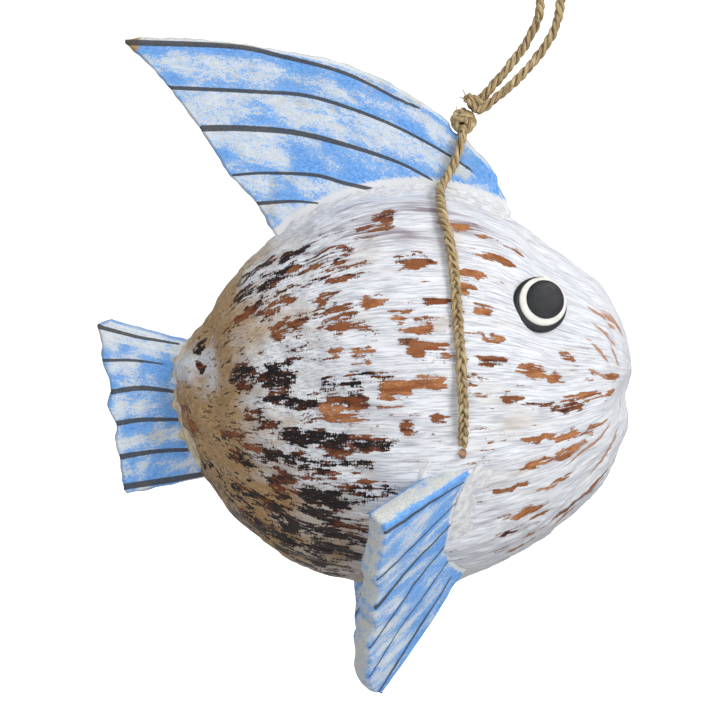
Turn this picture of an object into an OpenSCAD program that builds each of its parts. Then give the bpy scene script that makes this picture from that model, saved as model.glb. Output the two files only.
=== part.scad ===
// Hanging fish ornament: a whole dried coconut in its husk, with carved wooden fins, turned
// button eyes and a plaited cord sling. All sizes are in millimetres.
// Frame: the nose points to +X, up is +Z, and the origin is where a hook bears inside the
// top bend of the hanging loop.

/* [Husk and nut] */
// Width of the husk at its widest
husk_w = 168; // [160:1:176]
// Length of the nut inside the husk, shell included
nut_len = 116; // [104:1:120]
// Diameter of the nut, shell included
nut_d = 104; // [90:1:108]
// Thickness of the hard shell
shell_t = 4; // [3:0.5:6]
// Thickness of the dried kernel that lines the shell
kernel_t = 12; // [8:0.5:16]

/* [Fins] */
// Thickness of the dorsal fin
dorsal_t = 5; // [4:0.5:6]
// Thickness of the tail fin
tail_t = 10; // [8:0.5:12]
// Thickness of each pectoral fin
pectoral_t = 12.5; // [10:0.5:13]
// How far each pectoral fin flares from the fish's side, in degrees
pectoral_flare = 45; // [40:1:50]
// Thickness of the putty band on each face of a fin, along its root
putty_t = 3; // [2:0.5:3]
// Diameter of the bamboo pegs in the tail and pectoral fins
peg_d = 5; // [4:0.5:6]
// Diameter of the bamboo pegs in the thin dorsal fin
dorsal_peg_d = 3; // [2:0.5:3.5]

/* [Eyes] */
// Outside diameter of the black eye ring
ring_d = 27; // [25:0.5:28]
// Diameter of the white eye plug inside the ring
plug_d = 23.4; // [22:0.2:24]
// Diameter of the black pupil disc
pupil_d = 18.8; // [17:0.2:20]

/* [Cord] */
// Diameter of the plaited cord
cord_d = 4.6; // [4:0.1:4.8]
// Diameter of the knot ball
knot_d = 14; // [12:0.5:14]
// Diameter of the hole drilled for the sling in each side
hole_d = 9; // [8.8:0.1:10]
// Diameter of the wedge peg beside the cord in that hole
wedge_d = 3.6; // [3:0.1:3.8]

/* [Hidden] */

$fn = 48;
around = 32;     // points round each husk section
cord_sides = 8;  // sides of a swept cord
clearance = 0.4; // gap round the knot, which turns
bore_gap = 0.25; // gap round the cord where it enters the husk

// Husk sections along X: place, top, bottom and half width as a share of the widest
husk_stations = [
    [-183, -192, -219, 0.14],
    [-179.5, -186, -232, 0.25],
    [-171, -176, -254, 0.39],
    [-157, -157, -274, 0.58],
    [-141, -140.5, -288, 0.73],
    [-121, -125.5, -300.5, 0.86],
    [-98, -115.5, -306.5, 0.95],
    [-73, -111, -309, 1],
    [-48, -112.5, -307, 0.98],
    [-23, -121.5, -297.5, 0.89],
    [-3, -136.5, -285, 0.76],
    [11, -147, -273, 0.64],
    [26, -158.5, -257, 0.5],
    [34.5, -170, -243, 0.38],
    [40, -181.5, -229, 0.26],
    [43, -191, -212, 0.12]];

// Middle of the nut, which lies towards the nose, where the husk is thinnest
nut_centre = [-36, 0, -208];

// Middle of the knot, on which the fish turns and sways
knot_centre = [-42.5, 0, -76.5];

// Dorsal fin, in X and Z: the leading edge from the tip down to the forehead, the tongue
// inside the husk, and the scalloped trailing edge from the husk back up to the tip
dorsal_outline = [
    [-209, -37.5], [-196, -36.2], [-171, -37], [-137.5, -41.3], [-106, -47.5], [-82.5, -56.5],
    [-62.5, -68], [-51, -76.5], [-40.5, -87], [-29, -99.5], [-23.5, -112], [-19, -122],
    [-24, -131], [-48, -123], [-73, -121], [-98, -125], [-118, -136], [-134.5, -134],
    [-139, -126.5], [-144, -117.5], [-150.5, -110], [-157.5, -103], [-165, -91],
    [-172.5, -79.5], [-180.5, -68.5], [-189, -57.5], [-199, -46.5]];

// Putty band along the dorsal fin's root, half sunk in the husk
dorsal_putty_outline = [
    [-133, -127], [-121, -119.5], [-98, -110], [-73, -105.5], [-48, -107], [-30, -113],
    [-20.5, -119.5], [-23, -126], [-48, -117.5], [-73, -116], [-98, -120.5], [-121, -131],
    [-132, -137]];

// Tail fin, in X and Z: the top edge towards the husk, the tongue, the bottom edge and the
// scalloped rear edge back up
tail_outline = [
    [-224, -178], [-217.5, -175.5], [-198.5, -181], [-179.5, -186], [-162, -190],
    [-156, -215], [-160, -250], [-171, -254], [-190.5, -258.5], [-210.5, -262.5],
    [-212, -260.5], [-213.5, -246], [-216, -236], [-215, -228], [-219.5, -218.5],
    [-217.5, -210.5], [-219, -203.5], [-222, -194.5], [-222, -186.5]];

// Putty round the tail fin's root, where the stem was
tail_putty_outline = [
    [-184, -181], [-173, -184], [-175, -205], [-175, -228], [-168, -252], [-177, -257],
    [-184, -240], [-188, -222], [-188, -202]];

// Right pectoral fin: the two ends of the line where its front face meets the husk
pectoral_top = [-35.5, -75.5, -234];
pectoral_low = [-46.5, -53, -282.5];

// Its outline in its own plane, outwards from that line and down along it
pectoral_outline = [
    [-12, 2], [0, 0], [57, 19], [54, 36], [53.5, 51], [49, 62], [48.5, 76], [44.5, 86],
    [46, 97], [42, 110], [40.5, 119], [34, 130], [26, 135], [1.5, 94], [-6, 76.5],
    [-11, 70.5], [-20, 58], [-20, 12]];

// Putty band on its front face along the root, in the same plane
pectoral_putty_outline = [
    [-8, -1], [2, -3], [8, 6], [12, 18], [12.5, 30], [10.5, 42], [6, 54], [-2, 64], [-14, 68],
    [-15, 58], [-4, 48], [1, 36], [2, 24], [-1, 12]];

// Where the right eye sits on the husk, and the way that it looks
eye_seat = [-7.5, -52, -161];
eye_axis = [0.25, -0.92, 0.32];

// Mouth of the drilled hole on the right side, and the way that it is drilled
hole_mouth = [-45.5, -80, -226.5];
hole_axis = [0, 0.85, -0.53];
hole_depth = 18;

// Right leg of the sling, from the knot down over the husk and into the hole
leg_route = [
    [-42.9, -6, -82.9], [-44.4, -6.4, -88], [-46.8, -6.2, -96], [-50.2, -6.8, -103],
    [-53, -9.8, -106.8], [-54.4, -14.5, -109.4], [-54.6, -22, -111.7], [-54.6, -33.8, -116.2],
    [-53.6, -43, -121.7], [-51.6, -52.3, -129.3], [-49.8, -60.9, -138.5], [-48.8, -68.7, -149.5],
    [-48.2, -74.5, -160.2], [-47.4, -78.8, -171.1], [-46.6, -82, -182.2],
    [-46, -84, -193], [-45.4, -84.9, -203.4], [-45.3, -84.9, -213], [-45.4, -83.3, -219.8],
    [-45.5, -79.4, -224.8], [-45.5, -74, -228.1], [-45.5, -69, -231.2]];

// Hanging loop, from the knot up one strand, round the top bend and down the other
loop_route = [
    [-37.6, 1.8, -69.4], [-34.6, 2.2, -66.6], [-29.5, 2, -61], [-22, 1.6, -52], [-14.8, 1.2, -43],
    [-9.4, 0.8, -34], [-5.8, 0.4, -25], [-5.2, 0, -17.5], [-7.6, 0, -11.4], [-9, 0, -6],
    [-7.6, 0, -1.4], [-4.4, 0, 1.4], [0, 0, 2.3], [4.6, 0, 1.2], [8, 0, -2], [9, 0, -7],
    [7.6, 0, -12.4], [5.2, 0, -17.6], [3.8, -0.2, -25], [1, -0.6, -33.6], [-4.4, -1, -42.6],
    [-12.4, -1.6, -52], [-20.4, -2, -60], [-28, -2.2, -66.4], [-33, -2.2, -69.9],
    [-36, -2, -71.8]];

function unit(v) = v / norm(v);

// A value between b and c on a smooth curve through a, b, c and d
function smooth(a, b, c, d, t) =
    b + (c - a) * t / 2 + (2 * a - 5 * b + 4 * c - d) * t * t / 2
    + (3 * b - a - 3 * c + d) * t * t * t / 2;

last_station = len(husk_stations) - 1;

// The husk's section at a station number, whole or in between
function section(s) =
    let (i = min(floor(s), last_station - 1), t = s - i,
         a = husk_stations[max(i - 1, 0)], b = husk_stations[i],
         c = husk_stations[i + 1], d = husk_stations[min(i + 2, last_station)])
    smooth(a, b, c, d, t);

// Points round a section
function ring_points(s) =
    let (q = section(s), mid = (q[1] + q[2]) / 2, half = (q[1] - q[2]) / 2)
    [for (k = [0 : around - 1])
        [q[0], q[3] * husk_w / 2 * cos(k * 360 / around), mid + half * sin(k * 360 / around)]];

// A closed solid through rings that all have the same number of points
module loft(rings) {
    n = len(rings[0]);
    last = len(rings) - 1;
    sides = [for (i = [0 : last - 1], k = [0 : n - 1], half = [0, 1])
        let (a = i * n + k, b = i * n + (k + 1) % n, c = a + n, d = b + n)
        half == 0 ? [a, b, d] : [a, d, c]];
    ends = [[for (k = [n - 1 : -1 : 0]) k], [for (k = [0 : n - 1]) last * n + k]];
    polyhedron([for (r = rings) each r], concat(sides, ends));
}

// A tube along a route. No stretch of the route may run along aside.
module swept_tube(route, r, aside) {
    last = len(route) - 1;
    loft([for (i = [0 : last])
        let (t = unit(route[min(i + 1, last)] - route[max(i - 1, 0)]),
             u = unit(cross(aside, t)), v = cross(t, u))
        [for (k = [0 : cord_sides - 1])
            route[i] + r * (u * cos(k * 360 / cord_sides) + v * sin(k * 360 / cord_sides))]]);
}

// Moves a child from the XY plane to a plane through a point, given the plane's own x and y
module on_plane(origin, x, y) {
    z = cross(x, y);
    multmatrix([[x[0], y[0], z[0], origin[0]],
                [x[1], y[1], z[1], origin[1]],
                [x[2], y[2], z[2], origin[2]],
                [0, 0, 0, 1]])
        children();
}

// Points a child's +Z along an axis from a point
module along(origin, axis) {
    z = unit(axis);
    x = unit(cross([0, 0, 1], z));
    on_plane(origin, x, cross(z, x)) children();
}

module left_side() {
    mirror([0, 1, 0]) children();
}

// A plate of an outline given in X and Z, centred on the fish's middle plane
module upright_plate(outline, t) {
    rotate([90, 0, 0]) linear_extrude(t, center = true) polygon(outline);
}

// A solid egg of revolution about X
module egg(length, d) {
    steps = 24;
    translate(nut_centre) rotate([0, 90, 0]) rotate_extrude()
        polygon([for (k = [0 : steps])
            let (a = -90 + k * 180 / steps)
            [abs(a) == 90 ? 0 : d / 2 * cos(a), length / 2 * sin(a)]]);
}

// The whole husk's outside, as grown
module husk_skin() {
    loft([for (i = [0 : 2 * last_station]) ring_points(i / 2)]);
}

// Fin blanks, tongues included
module dorsal_blank() {
    difference() {
        upright_plate(dorsal_outline, dorsal_t);
        translate(knot_centre) rotate([90, 0, 0])
            cylinder(d = knot_d + 2 * clearance, h = 2 * dorsal_t, center = true);
    }
}

module tail_blank() {
    upright_plate(tail_outline, tail_t);
}

// Putty bands, before the fins are taken out of them
module dorsal_putty_blank() {
    upright_plate(dorsal_putty_outline, dorsal_t + 2 * putty_t);
}

module tail_putty_blank() {
    upright_plate(tail_putty_outline, tail_t + 2 * putty_t);
}

pectoral_down = unit(pectoral_low - pectoral_top);
flare_way = [-cos(pectoral_flare), -sin(pectoral_flare), 0];
pectoral_out = unit(flare_way - (flare_way * pectoral_down) * pectoral_down);

module on_pectoral() {
    on_plane(pectoral_top, pectoral_out, pectoral_down) children();
}

module pectoral_blank() {
    on_pectoral() translate([0, 0, -pectoral_t])
        linear_extrude(pectoral_t) polygon(pectoral_outline);
}

module pectoral_putty_blank() {
    on_pectoral() linear_extrude(putty_t) polygon(pectoral_putty_outline);
}

// Pegs: across each fin's root into the husk
dorsal_peg_x = [-102, -58];
dorsal_peg_z = [-145, -95];
tail_peg_z = [-204, -236];
tail_peg_x = [-196, -138];
pectoral_peg_y = [18, 46];
pectoral_peg_x = [-38, 26];

module dorsal_peg_shapes() {
    for (x = dorsal_peg_x)
        translate([x, 0, dorsal_peg_z[0]])
            cylinder(d = dorsal_peg_d, h = dorsal_peg_z[1] - dorsal_peg_z[0], $fn = 24);
}

module tail_peg_shapes() {
    for (z = tail_peg_z)
        translate([tail_peg_x[0], 0, z]) rotate([0, 90, 0])
            cylinder(d = peg_d, h = tail_peg_x[1] - tail_peg_x[0], $fn = 24);
}

module pectoral_peg_shapes() {
    on_pectoral() for (y = pectoral_peg_y)
        translate([pectoral_peg_x[0], y, -pectoral_t / 2]) rotate([0, 90, 0])
            cylinder(d = peg_d, h = pectoral_peg_x[1] - pectoral_peg_x[0], $fn = 24);
}

// Eyes: heights above the seat, along the eye's own axis
socket_depth = 7;
ring_top = 4.2;
plug_top = 5.6;
pupil_sink = 1.5;
pupil_top = 6.6;

module eye_tube(d, from, to) {
    along(eye_seat, eye_axis) translate([0, 0, from]) cylinder(d = d, h = to - from);
}

// Sling holes: the cord takes the upper part and a wedge peg the lower part
hole_way = unit(hole_axis);
hole_up = unit(cross([1, 0, 0], hole_way));
wedge_sink = 13;
wedge_proud = 2.5;

module sling_hole() {
    along(hole_mouth - 6 * hole_way, hole_way) cylinder(d = hole_d, h = hole_depth + 6);
    swept_tube([for (i = [17 : len(leg_route) - 1]) leg_route[i]], cord_d / 2 + bore_gap,
               [1, 0, 0]);
}

module wedge_shape() {
    drop = (hole_d - wedge_d) / 2 - bore_gap;
    along(hole_mouth - wedge_proud * hole_way - drop * hole_up, hole_way)
        cylinder(d = wedge_d, h = wedge_sink + wedge_proud, $fn = 24);
}

module right_side_cuts() {
    pectoral_blank();
    pectoral_putty_blank();
    pectoral_peg_shapes();
    eye_tube(ring_d, -socket_depth, 14);
    sling_hole();
}

// The carved mouth: a wedge-shaped notch right across the front
module mouth_cut() {
    rotate([90, 0, 0]) linear_extrude(60, center = true)
        polygon([[48, -204], [36, -209], [48, -214]]);
}

module husk() {
    color("whitesmoke") difference() {
        husk_skin();
        egg(nut_len, nut_d);
        dorsal_blank();
        dorsal_putty_blank();
        dorsal_peg_shapes();
        tail_blank();
        tail_putty_blank();
        tail_peg_shapes();
        right_side_cuts();
        left_side() right_side_cuts();
        mouth_cut();
    }
}

module nut_shell() {
    color("saddlebrown") difference() {
        egg(nut_len, nut_d);
        egg(nut_len - 2 * shell_t, nut_d - 2 * shell_t);
    }
}

module dried_kernel() {
    inner = 2 * (shell_t + kernel_t);
    color("ivory") difference() {
        egg(nut_len - 2 * shell_t, nut_d - 2 * shell_t);
        egg(nut_len - inner, nut_d - inner);
    }
}

module dorsal_fin() {
    color("cornflowerblue") difference() {
        dorsal_blank();
        dorsal_peg_shapes();
    }
}

module dorsal_putty() {
    color("white") difference() {
        dorsal_putty_blank();
        dorsal_blank();
    }
}

module dorsal_pegs() {
    color("burlywood") dorsal_peg_shapes();
}

module tail_fin() {
    color("cornflowerblue") difference() {
        tail_blank();
        tail_peg_shapes();
    }
}

module tail_putty() {
    color("white") difference() {
        tail_putty_blank();
        tail_blank();
    }
}

module tail_pegs() {
    color("burlywood") tail_peg_shapes();
}

module pectoral_fin_right() {
    color("cornflowerblue") difference() {
        pectoral_blank();
        pectoral_peg_shapes();
        sling_hole();
    }
}

module pectoral_putty_right() {
    color("white") pectoral_putty_blank();
}

module pectoral_pegs_right() {
    color("burlywood") pectoral_peg_shapes();
}

module pectoral_fin_left() {
    left_side() pectoral_fin_right();
}

module pectoral_putty_left() {
    left_side() pectoral_putty_right();
}

module pectoral_pegs_left() {
    left_side() pectoral_pegs_right();
}

module eye_ring_right() {
    color("black") difference() {
        eye_tube(ring_d, -socket_depth, ring_top);
        eye_tube(plug_d, -socket_depth - 1, ring_top + 1);
    }
}

module eye_plug_right() {
    color("white") difference() {
        eye_tube(plug_d, -socket_depth, plug_top);
        eye_tube(pupil_d, plug_top - pupil_sink, plug_top + 1);
    }
}

module eye_pupil_right() {
    color("black") eye_tube(pupil_d, plug_top - pupil_sink, pupil_top);
}

module eye_ring_left() {
    left_side() eye_ring_right();
}

module eye_plug_left() {
    left_side() eye_plug_right();
}

module eye_pupil_left() {
    left_side() eye_pupil_right();
}

module cord_leg_right() {
    color("tan") swept_tube(leg_route, cord_d / 2, [1, 0, 0]);
}

module cord_wedge_right() {
    color("burlywood") wedge_shape();
}

module cord_leg_left() {
    left_side() cord_leg_right();
}

module cord_wedge_left() {
    left_side() cord_wedge_right();
}

module knot() {
    color("tan") translate(knot_centre) sphere(d = knot_d);
}

// The turns of cord that bind the two strands of the loop just above the knot
module knot_collar() {
    collar_centre = [-38.5, 0, -68];
    color("tan") difference() {
        translate(collar_centre) sphere(r = 5);
        translate(knot_centre) sphere(d = knot_d + 2 * clearance);
    }
}

module hanging_loop() {
    color("tan") swept_tube(loop_route, cord_d / 2, [0, 1, 0]);
}

husk();
nut_shell();
dried_kernel();
dorsal_fin();
dorsal_putty();
dorsal_pegs();
tail_fin();
tail_putty();
tail_pegs();
pectoral_fin_right();
pectoral_putty_right();
pectoral_pegs_right();
pectoral_fin_left();
pectoral_putty_left();
pectoral_pegs_left();
eye_ring_right();
eye_plug_right();
eye_pupil_right();
eye_ring_left();
eye_plug_left();
eye_pupil_left();
cord_leg_right();
cord_wedge_right();
cord_leg_left();
cord_wedge_left();
knot();
knot_collar();
hanging_loop();
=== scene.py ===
import math

import bmesh
import bpy
import numpy as np
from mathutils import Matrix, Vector


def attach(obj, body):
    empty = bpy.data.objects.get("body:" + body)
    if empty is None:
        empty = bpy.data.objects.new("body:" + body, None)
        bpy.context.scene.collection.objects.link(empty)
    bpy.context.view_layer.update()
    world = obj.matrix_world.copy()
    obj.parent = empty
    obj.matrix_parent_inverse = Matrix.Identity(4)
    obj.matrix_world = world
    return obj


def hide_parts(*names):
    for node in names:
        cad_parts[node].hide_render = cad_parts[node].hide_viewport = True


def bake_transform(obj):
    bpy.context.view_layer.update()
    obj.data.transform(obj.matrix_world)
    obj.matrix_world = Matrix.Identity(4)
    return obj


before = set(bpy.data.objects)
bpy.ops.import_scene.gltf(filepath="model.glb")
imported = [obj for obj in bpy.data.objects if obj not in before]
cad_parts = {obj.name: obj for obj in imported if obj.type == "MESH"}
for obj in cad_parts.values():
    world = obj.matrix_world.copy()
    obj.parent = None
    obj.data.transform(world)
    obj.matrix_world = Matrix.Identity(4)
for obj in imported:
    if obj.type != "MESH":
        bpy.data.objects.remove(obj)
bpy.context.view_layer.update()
MM = 0.001
SIDES = ("right", "left")

# ---------------------------------------- camera

TARGET = Vector((-0.0935, 0, -0.1955))
DISTANCE = 1.2
ELEVATION = math.radians(8)
camera = bpy.data.objects.new("camera", bpy.data.cameras.new("camera"))
bpy.context.scene.collection.objects.link(camera)
camera.location = TARGET + DISTANCE * Vector((0, -math.cos(ELEVATION), math.sin(ELEVATION)))
camera.rotation_euler = (math.pi / 2 - ELEVATION, 0, 0)
camera.data.sensor_width = 36
camera.data.lens = 120
bpy.context.scene.camera = camera

# ---------------------------------------- geometry helpers (mm)


def unit(v):
    v = np.asarray(v, float)
    return v / np.linalg.norm(v, axis=-1, keepdims=True)


def step(lo, hi, x):
    """0 below lo, 1 above hi, smooth between."""
    t = np.clip((np.asarray(x, float) - lo) / (hi - lo), 0, 1)
    return t * t * (3 - 2 * t)


def ripple(p, size, seed, terms=14):
    """Smooth bumps about size across, roughly from -1 to 1, at points p."""
    r = np.random.default_rng(seed)
    p = np.asarray(p, float)
    out = np.zeros(p.shape[:-1])
    for _ in range(terms):
        k = unit(r.normal(size=p.shape[-1])) * 2 * math.pi / size * r.uniform(0.6, 1.6)
        out += np.sin(p @ k + r.uniform(0, 2 * math.pi))
    return out / math.sqrt(terms)


def lengths(p):
    """How far along a line each of its points is."""
    return np.concatenate([[0], np.cumsum(np.linalg.norm(np.diff(p, axis=0), axis=1))])


def path_length(p):
    return float(lengths(p)[-1])


def resample(p, spacing=None, count=None):
    """A line again, with count points, or with points about spacing apart."""
    p = np.asarray(p, float)
    s = lengths(p)
    if count is None:
        count = max(2, round(s[-1] / spacing) + 1)
    t = np.linspace(0, s[-1], count)
    return np.stack([np.interp(t, s, p[:, k]) for k in range(p.shape[1])], axis=1)


def spline(points, spacing):
    """A smooth curve through points, with points about spacing apart."""
    p = np.asarray(points, float)
    longer = np.vstack([2 * p[0] - p[1], p, 2 * p[-1] - p[-2]])
    curve = []
    for i in range(len(p) - 1):
        a, b, c, d = longer[i : i + 4]
        for t in np.linspace(0, 1, 24, endpoint=False):
            curve.append(b + (c - a) * t / 2 + (2 * a - 5 * b + 4 * c - d) * t * t / 2
                         + (3 * b - a - 3 * c + d) * t**3 / 2)
    return resample(curve + [p[-1]], spacing=spacing)


def to_lines(p, lines):
    """Distance from 2-D points to the nearest of some lines, and how far along it, 0 to 1."""
    best = np.full(len(p), 1e9)
    along = np.zeros(len(p))
    for line in lines:
        line = np.asarray(line, float)
        start = lengths(line)
        for i in range(len(line) - 1):
            a, d = line[i], line[i + 1] - line[i]
            t = np.clip((p - a) @ d / (d @ d), 0, 1)
            dist = np.linalg.norm(p - a - t[:, None] * d, axis=1)
            near = dist < best
            best[near] = dist[near]
            along[near] = (start[i] + t[near] * (start[i + 1] - start[i])) / start[-1]
    return best, along


def grid_faces(rows, cols, closed=False, base=0, flip=False):
    """Faces between rows of points. closed joins each row's last point to its first."""
    faces = []
    for i in range(rows - 1):
        for j in range(cols if closed else cols - 1):
            a = base + i * cols + j
            b = base + i * cols + (j + 1) % cols
            face = (a, b, b + cols, a + cols)
            faces.append(face[::-1] if flip else face)
    return faces


def ring_faces(rows, cols, base=0):
    """Faces of a row of rings, shut at both ends."""
    last = base + (rows - 1) * cols
    ends = [tuple(range(base + cols - 1, base - 1, -1)), tuple(range(last, last + cols))]
    return grid_faces(rows, cols, closed=True, base=base) + ends


def turn_outwards(obj):
    """Turns a mesh's faces to look outwards."""
    bm = bmesh.new()
    bm.from_mesh(obj.data)
    bmesh.ops.recalc_face_normals(bm, faces=bm.faces)
    bm.to_mesh(obj.data)
    bm.free()


def add(name, verts, faces, body, material, slot, replaces=(), values=None):
    """A mesh piece from points in mm, with values as point attributes. body is None for a piece
    that is attached to no body."""
    mesh = bpy.data.meshes.new(name)
    mesh.from_pydata((np.asarray(verts, float) * MM).tolist(), [], faces)
    mesh.polygons.foreach_set("use_smooth", [True] * len(mesh.polygons))
    for key, value in (values or {}).items():
        value = np.asarray(value, np.float32)
        kind = "FLOAT_VECTOR" if value.ndim == 2 else "FLOAT"
        attribute = mesh.attributes.new(key, kind, "POINT")
        attribute.data.foreach_set("vector" if value.ndim == 2 else "value", value.ravel())
    mesh.materials.append(material)
    mesh.update()
    obj = bpy.data.objects.new(name, mesh)
    bpy.context.scene.collection.objects.link(obj)
    if body:
        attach(obj, body)
    if replaces:
        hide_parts(*replaces)
    return obj


def on_side(side, p):
    """Points of the right side as they lie on this side."""
    p = np.array(p, float)
    if side == "left":
        p[..., 1] *= -1
    return p


# ---------------------------------------- material helpers


def srgb(r, g, b):
    """A colour that is written as on a screen, 0 to 255."""
    def linear(c):
        c /= 255
        return c / 12.92 if c <= 0.04045 else ((c + 0.055) / 1.055) ** 2.4
    return (linear(r), linear(g), linear(b), 1)


class Look:
    """A material being made: each call adds a node and gives back its output."""

    def __init__(self, name):
        self.material = bpy.data.materials.new(name)
        self.material.use_nodes = True
        self.tree = self.material.node_tree
        self.shader = self.tree.nodes["Principled BSDF"]
        self.shader.inputs["Specular IOR Level"].default_value = 0.25

    def put(self, socket, value):
        if isinstance(value, bpy.types.NodeSocket):
            self.tree.links.new(value, socket)
        else:
            socket.default_value = value

    def node(self, kind, inputs, output=0, **settings):
        n = self.tree.nodes.new("ShaderNode" + kind)
        for name, value in settings.items():
            setattr(n, name, value)
        for socket, value in inputs.items():
            self.put(n.inputs[socket], value)
        return n.outputs[output]

    def place(self):
        return self.node("TexCoord", {}, "Object")

    def value(self, name):
        return self.node("Attribute", {}, "Fac", attribute_name=name)

    def vector(self, name):
        return self.node("Attribute", {}, "Vector", attribute_name=name)

    def math(self, operation, a, b):
        return self.node("Math", {0: a, 1: b}, operation=operation)

    def plus(self, a, b):
        return self.math("ADD", a, b)

    def times(self, a, b):
        return self.math("MULTIPLY", a, b)

    def swing(self, noise, size):
        """Noise as a value round 0, half of size to either side."""
        return self.times(self.math("SUBTRACT", noise, 0.5), size)

    def mottled(self, value, noise, size):
        """A value with noise added, half of size to either side."""
        return self.plus(value, self.swing(noise, size))

    def noise(self, place, scale, detail, roughness, distortion=0.0):
        return self.node("TexNoise", {"Vector": place, "Scale": scale, "Detail": detail,
                                      "Roughness": roughness, "Distortion": distortion}, "Fac")

    def drawn(self, place, scale, detail, roughness, shift=(0, 0, 0), distortion=0.0):
        """Noise that is drawn out: a smaller scale along X, Y or Z makes it longer that way."""
        place = self.node("Mapping", {"Vector": place, "Scale": scale, "Location": shift})
        return self.noise(place, 1, detail, roughness, distortion)

    def ramp(self, value, lo, hi, out_lo=0.0, out_hi=1.0, soft=True):
        return self.node("MapRange", {"Value": value, "From Min": lo, "From Max": hi,
                                      "To Min": out_lo, "To Max": out_hi},
                         interpolation_type="SMOOTHSTEP" if soft else "LINEAR")

    def mix(self, share, a, b):
        """A mix of two colours, each an output or three numbers as on a screen."""
        a, b = [srgb(*c) if isinstance(c, tuple) and len(c) == 3 else c for c in (a, b)]
        return self.node("Mix", {0: share, 6: a, 7: b}, 2, data_type="RGBA")

    def bump(self, height, distance, strength, under=None):
        inputs = {"Height": height, "Distance": distance, "Strength": strength}
        if under:
            inputs["Normal"] = under
        return self.node("Bump", inputs)

    def finish(self, colour, roughness, normal=None):
        self.put(self.shader.inputs["Base Color"], colour)
        self.put(self.shader.inputs["Roughness"], roughness)
        if normal:
            self.put(self.shader.inputs["Normal"], normal)
        return self.material


def husk_look():
    """Whitewash in streaks along the fibres. Where it is gone the husk is brown to nearly black,
    and towards the stem and the belly it thins to the tan husk below."""
    k = Look("whitewashed_husk")
    k.shader.inputs["Specular IOR Level"].default_value = 0.12
    grain = k.vector("grain")
    tan = k.value("tan")
    blots = k.drawn(grain, (60, 170, 170), 5, 0.68, distortion=0.3)
    streaks = k.drawn(grain, (26, 620, 620), 3, 0.6, (5, 1, 2))
    hairs = k.drawn(grain, (1200, 420, 420), 4, 0.7, (1, 4, 8), distortion=0.4)
    fibres = k.drawn(grain, (90, 1500, 1500), 3, 0.6, (2, 7, 4))
    dark = k.value("dark")
    # how far each place is over the limit from which the husk is bare
    field = k.mottled(blots, streaks, 0.6)
    field = k.plus(field, k.times(k.swing(hairs, 0.4), k.ramp(dark, 0.2, 0.8, 0.4, 1.1)))
    field = k.mottled(field, fibres, 0.24)
    limit = k.ramp(k.value("bare"), 0, 1, 0.86, 0.3, soft=False)
    depth = k.math("SUBTRACT", field, limit)
    bare = k.ramp(depth, -0.008, 0.014)
    # the bare husk
    groove = k.ramp(k.mottled(k.value("groove"), streaks, 0.9), 0.5, 0.66)
    tone = k.drawn(grain, (110, 300, 300), 4, 0.65, (3, 3, 9))
    warm = k.mix(k.ramp(tone, 0.38, 0.62), (140, 82, 48), (190, 130, 84))
    brown = k.mix(k.ramp(k.mottled(dark, tone, 1.2), 0.14, 0.55), warm, (112, 60, 36))
    brown = k.mix(k.ramp(k.mottled(dark, tone, 1.8), 0.46, 0.76), brown, (17, 14, 17))
    rim = k.ramp(depth, 0.0, 0.06, 0.75, 0)
    brown = k.mix(k.times(rim, k.ramp(dark, 0.15, 0.5, 0.25, 1)), brown, (38, 26, 22))
    pits = k.ramp(k.mottled(hairs, fibres, 0.6), 0.56, 0.7, 0, 0.55)
    brown = k.mix(pits, brown, (58, 38, 30))
    light = k.times(k.ramp(fibres, 0.5, 0.72, 0, 0.4), k.ramp(dark, 0.3, 0.7, 1, 0.25))
    brown = k.mix(light, brown, (186, 134, 92))
    # the whitewash and what shows through it
    wash = k.mix(k.ramp(fibres, 0.34, 0.6), (190, 192, 202), (236, 239, 243))
    stain = k.drawn(grain, (26, 90, 90), 3, 0.55, (8, 1, 5))
    wash = k.mix(k.ramp(stain, 0.52, 0.76, 0, 0.45), wash, (210, 205, 202))
    faint = k.plus(k.mottled(streaks, blots, 0.5), k.times(tan, 0.1))
    faint = k.times(k.ramp(faint, 0.6, 0.7, 0, 0.8), k.ramp(tan, 0.1, 0.6, 0.5, 1))
    line = k.mix(k.ramp(tan, 0.15, 0.6), (168, 158, 162), (104, 78, 56))
    # painted shade: grey on the back beside the dorsal fin's root
    wash = k.mix(k.times(k.value("smudge_and_shade"), k.ramp(streaks, 0.4, 0.6)), wash, (150, 140, 148))
    ground = k.mix(k.ramp(k.mottled(streaks, blots, 0.8), 0.35, 0.65),
                   (164, 130, 90), (208, 182, 142))
    wash = k.mix(k.ramp(k.mottled(tan, stain, 1.3), 0.1, 1.05), wash, ground)
    wash = k.mix(faint, wash, line)
    colour = k.mix(bare, wash, brown)
    colour = k.mix(k.times(groove, 0.85), colour, (176, 122, 84))
    lines = k.bump(fibres, 0.0005, 0.45)
    edge = k.bump(k.times(bare, -1), 0.0006, 0.7, lines)
    return k.finish(colour, k.ramp(bare, 0, 1, 0.82, 0.6), edge)


def putty_look(name, low, high, stain):
    k = Look(name)
    place = k.place()
    lumps = k.noise(place, 260, 4, 0.6)
    strokes = k.drawn(place, (260, 900, 240), 4, 0.65)
    fine = k.noise(place, 1400, 3, 0.6)
    colour = k.mix(k.ramp(strokes, 0.35, 0.65), low, high)
    colour = k.mix(k.ramp(lumps, 0.52, 0.72, 0, 0.7), colour, stain)
    colour = k.mix(k.ramp(fine, 0.6, 0.75, 0, 0.25), colour, (170, 160, 150))
    return k.finish(colour, 0.88, k.bump(k.plus(lumps, k.times(strokes, 0.7)), 0.0011, 0.5))


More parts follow.
